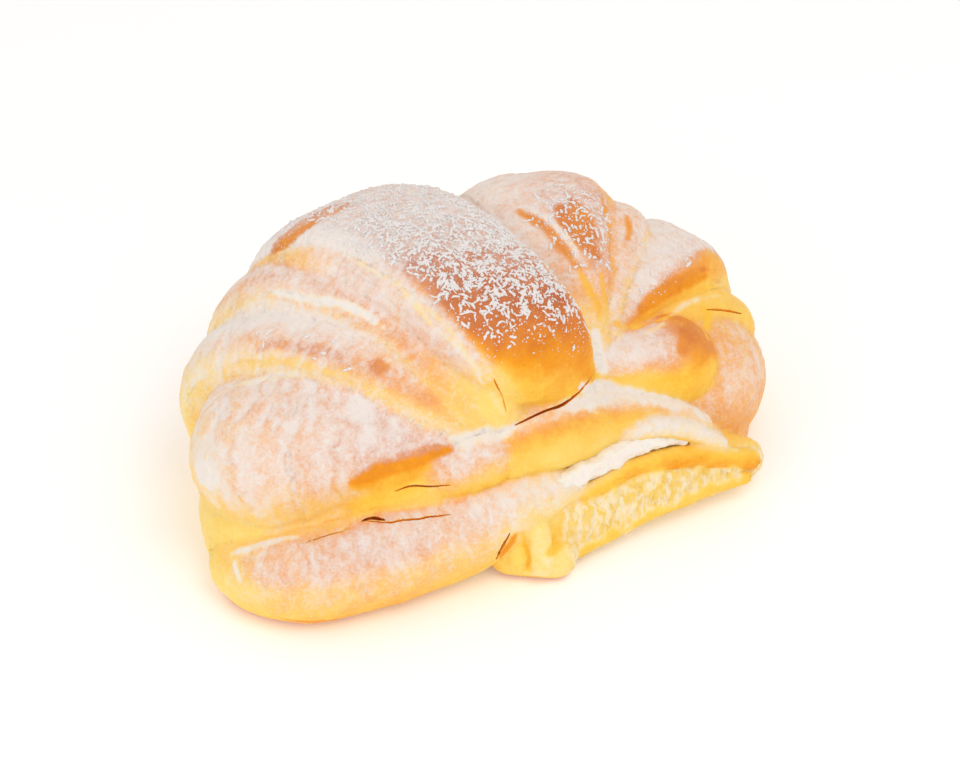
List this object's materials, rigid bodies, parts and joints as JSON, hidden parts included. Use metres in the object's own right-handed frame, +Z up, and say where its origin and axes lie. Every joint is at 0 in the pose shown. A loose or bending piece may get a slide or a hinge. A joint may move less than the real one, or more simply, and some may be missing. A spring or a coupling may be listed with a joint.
{
  "type": "cream-filled croissant",
  "caption": "Fat crescent roll of egg-rich dough with fanned wraps, one horn folded along the front, one torn open, a layer of cream in the seam and powdered sugar on top.",
  "frame": {"origin": "On the table, under the middle of the croissant's bounding box.", "axes": "+Z up. -Y is the front, where the pinches, the seam with the cream and the torn horn show. +X runs along the longest extent, towards the torn horn."},
  "size_m": [0.1613, 0.1081, 0.0731],
  "materials": {
    "baked_dough": "matte baked crust, sugared on its upper faces",
    "pastry_cream": "soft satin"
  },
  "bodies": {
    "root": {"croissant": "baked_dough", "cream": "pastry_cream"}
  },
  "joints": []
}
